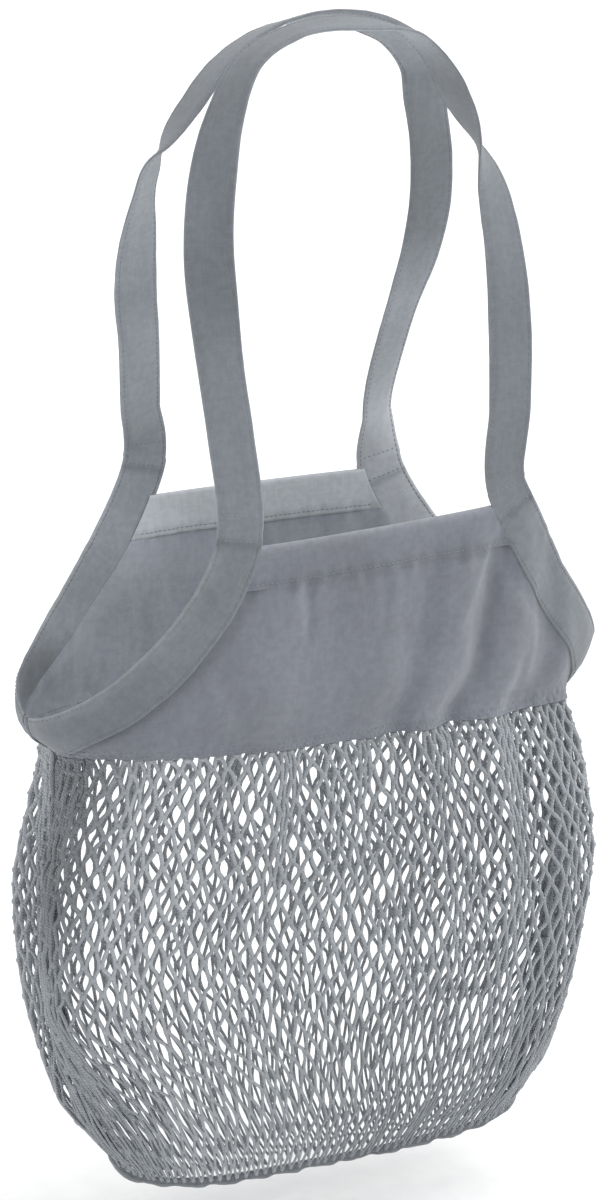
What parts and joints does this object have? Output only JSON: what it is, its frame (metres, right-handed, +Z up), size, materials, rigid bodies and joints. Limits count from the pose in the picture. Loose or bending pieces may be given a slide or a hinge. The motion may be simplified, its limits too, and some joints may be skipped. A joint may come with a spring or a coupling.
{
  "type": "string shopping bag",
  "caption": "Soft shopping bag hanging by its two long flat handles: plain cloth top with deep side scoops, knitted see-through net body, seamed at the sides and the bottom.",
  "frame": {"origin": "the hanging point, under the top of both handles", "axes": "+Z up along the hanging bag, +X along the bag's width to its right as seen from the front, the front faces -Y"},
  "size_m": [0.3697, 0.1309, 0.6937],
  "materials": {
    "cloth": "matt plain-woven cotton, blue grey",
    "strap": "matt doubled cotton strap, blue grey",
    "net": "matt knitted cotton cord, blue grey"
  },
  "bodies": {
    "root": {"front_handle": "strap", "back_handle": "strap", "front_hem": "cloth", "back_hem": "cloth", "front_panel": "cloth", "back_panel": "cloth", "front_net": "net", "back_net": "net", "side_and_bottom_seam": "net"}
  },
  "joints": []
}
